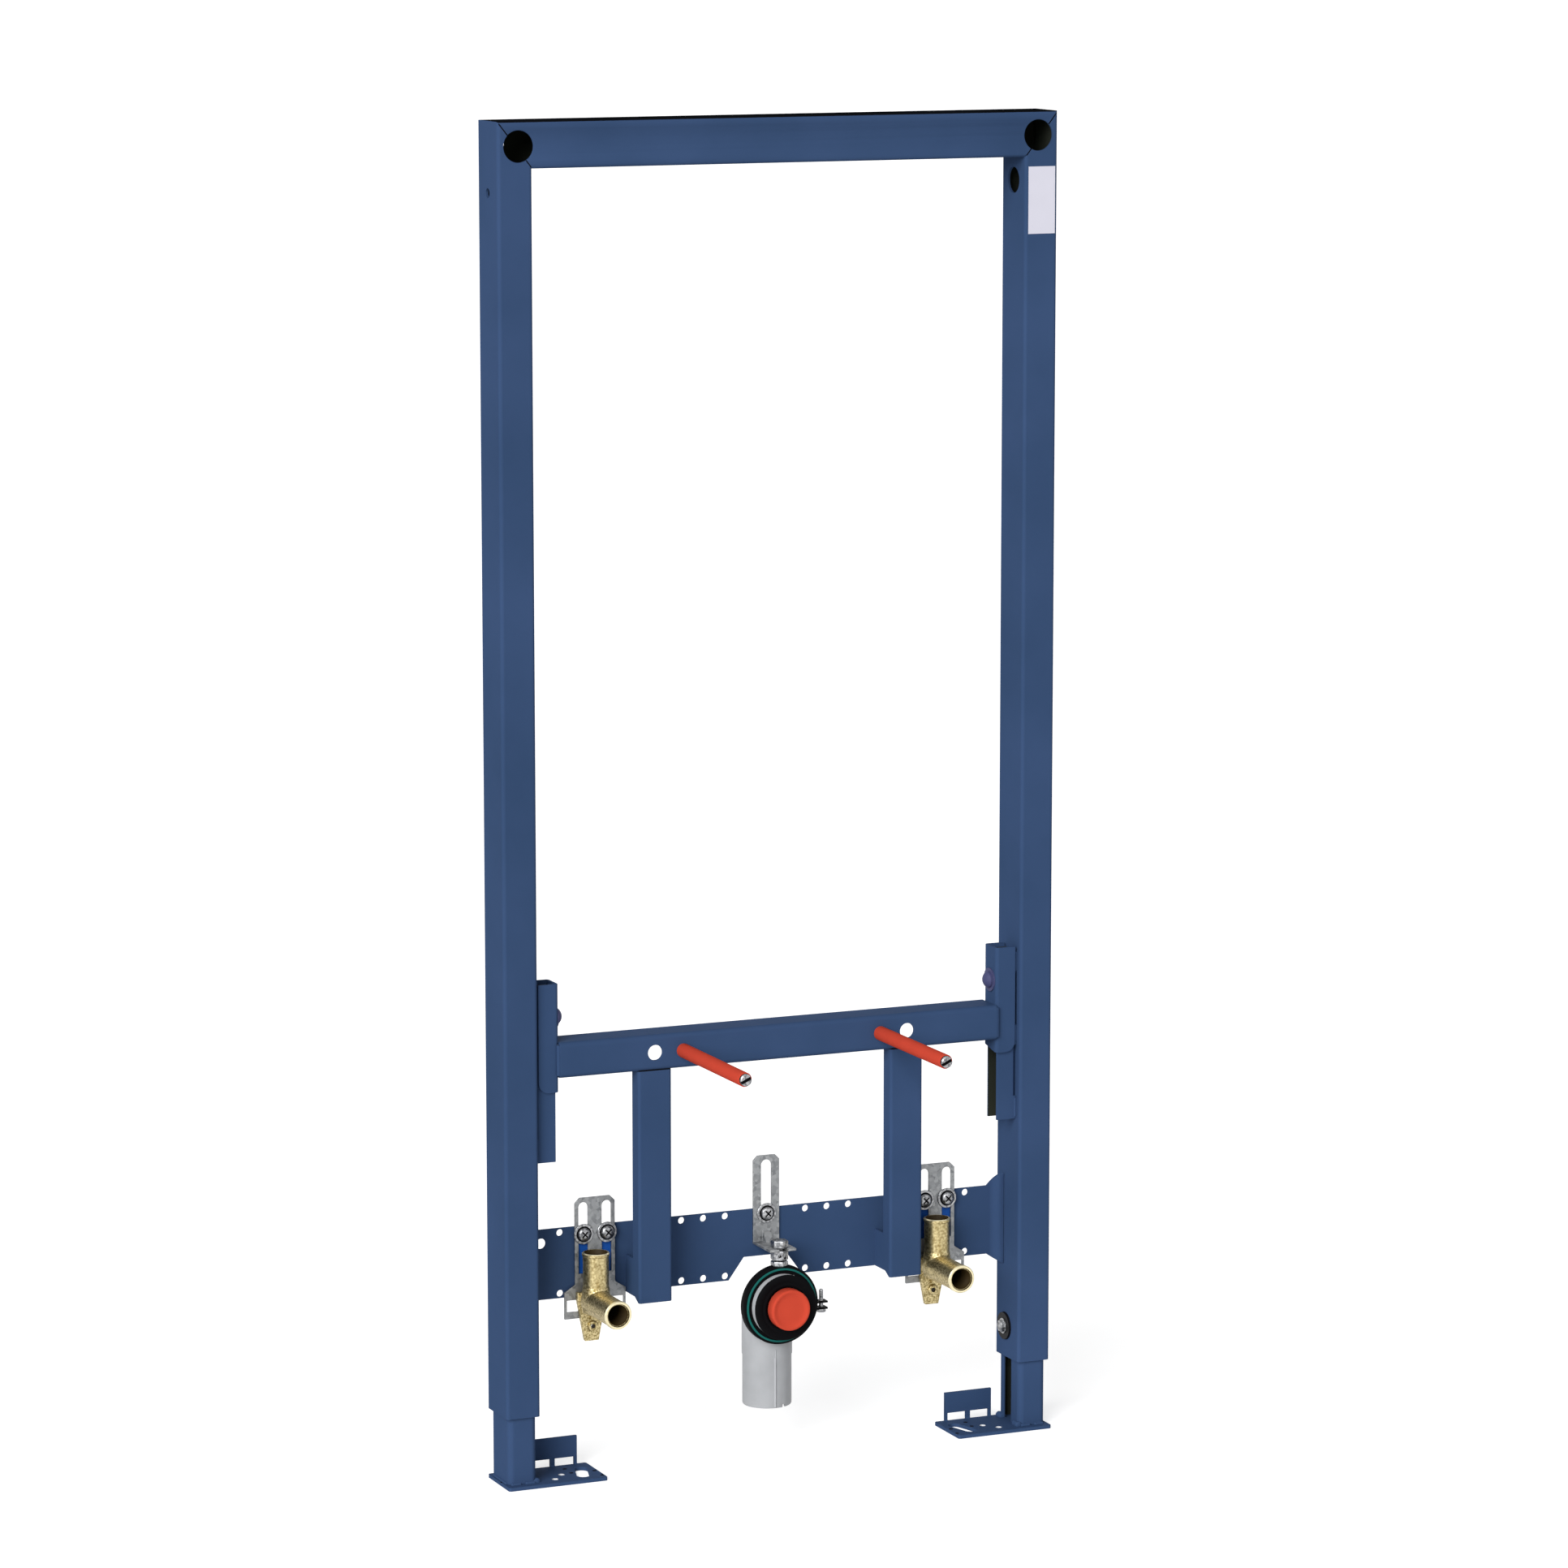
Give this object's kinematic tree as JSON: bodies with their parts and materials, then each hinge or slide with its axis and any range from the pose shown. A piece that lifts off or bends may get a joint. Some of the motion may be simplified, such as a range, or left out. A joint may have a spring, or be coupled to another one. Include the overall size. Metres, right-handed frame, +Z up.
{
  "type": "bidet installation frame",
  "caption": "Upright steel frame on adjustable feet that carries a wall-hung bidet, with a crossbar for its studs, water elbows and a waste connection.",
  "frame": {"origin": "on the floor, under the middle of the overall box; the plane of the uprights' fronts is 37.25 mm behind it", "axes": "+X to the right seen from the front, +Y towards the wall, +Z up"},
  "size_m": [0.5, 0.1876, 1.13],
  "materials": {
    "blue_paint": "blue powder coat over steel",
    "zinc": "galvanised sheet steel",
    "zinc_bolt": "bright zinc-plated fasteners",
    "brass": "cast and turned brass",
    "red_plastic": "red protective plastic",
    "black_plastic": "black moulded plastic",
    "blue_plastic": "blue insulating plastic",
    "rubber": "black rubber",
    "teal_rubber": "teal rubber edge",
    "grey_pipe": "light grey plastic pipe"
  },
  "bodies": {
    "frame": {"left_upright": "blue_paint", "left_guide_channel": "blue_paint", "left_leg_clamp": "black_plastic", "left_clamp_bolt": "zinc_bolt", "right_upright": "blue_paint", "right_guide_channel": "blue_paint", "right_leg_clamp": "black_plastic", "right_clamp_bolt": "zinc_bolt", "top_rail": "blue_paint"},
    "left_leg_assembly": {"left_leg": "blue_paint", "left_foot_plate": "blue_paint"},
    "right_leg_assembly": {"right_leg": "blue_paint", "right_foot_plate": "blue_paint"},
    "carrier": {"left_slide_shoe": "blue_paint", "left_post": "blue_paint", "left_lock_bolt": "zinc_bolt", "left_stud": "zinc_bolt", "left_stud_nut": "zinc_bolt", "left_stud_sleeve": "red_plastic", "left_insulator": "blue_plastic", "left_tap_bracket": "zinc", "left_tap_screws": "zinc_bolt", "left_tap_elbow": "brass", "right_slide_shoe": "blue_paint", "right_post": "blue_paint", "right_lock_bolt": "zinc_bolt", "right_stud": "zinc_bolt", "right_stud_nut": "zinc_bolt", "right_stud_sleeve": "red_plastic", "right_insulator": "blue_plastic", "right_tap_bracket": "zinc", "right_tap_screws": "zinc_bolt", "right_tap_elbow": "brass", "crossbar": "blue_paint", "mounting_plate": "blue_paint", "waste_bracket": "zinc", "waste_bracket_screw": "zinc_bolt", "pipe_clamp": "rubber", "clamp_screw": "zinc_bolt", "hanger_boss": "zinc_bolt", "hanger_nut": "zinc_bolt", "waste_elbow": "grey_pipe", "waste_collar": "rubber", "waste_plug": "red_plastic", "clamp_marker_ring": "teal_rubber"}
  },
  "joints": [
    {"name": "left_leg_slide", "type": "slide", "parent": "frame", "child": "left_leg_assembly", "axis": [0, 0, -1], "range_m": [-0.052, 0.14]},
    {"name": "right_leg_slide", "type": "slide", "parent": "frame", "child": "right_leg_assembly", "axis": [0, 0, -1], "range_m": [-0.052, 0.14]},
    {"name": "carrier_slide", "type": "slide", "parent": "frame", "child": "carrier", "axis": [0, 0, -1], "range_m": [0, 0.035]}
  ]
}
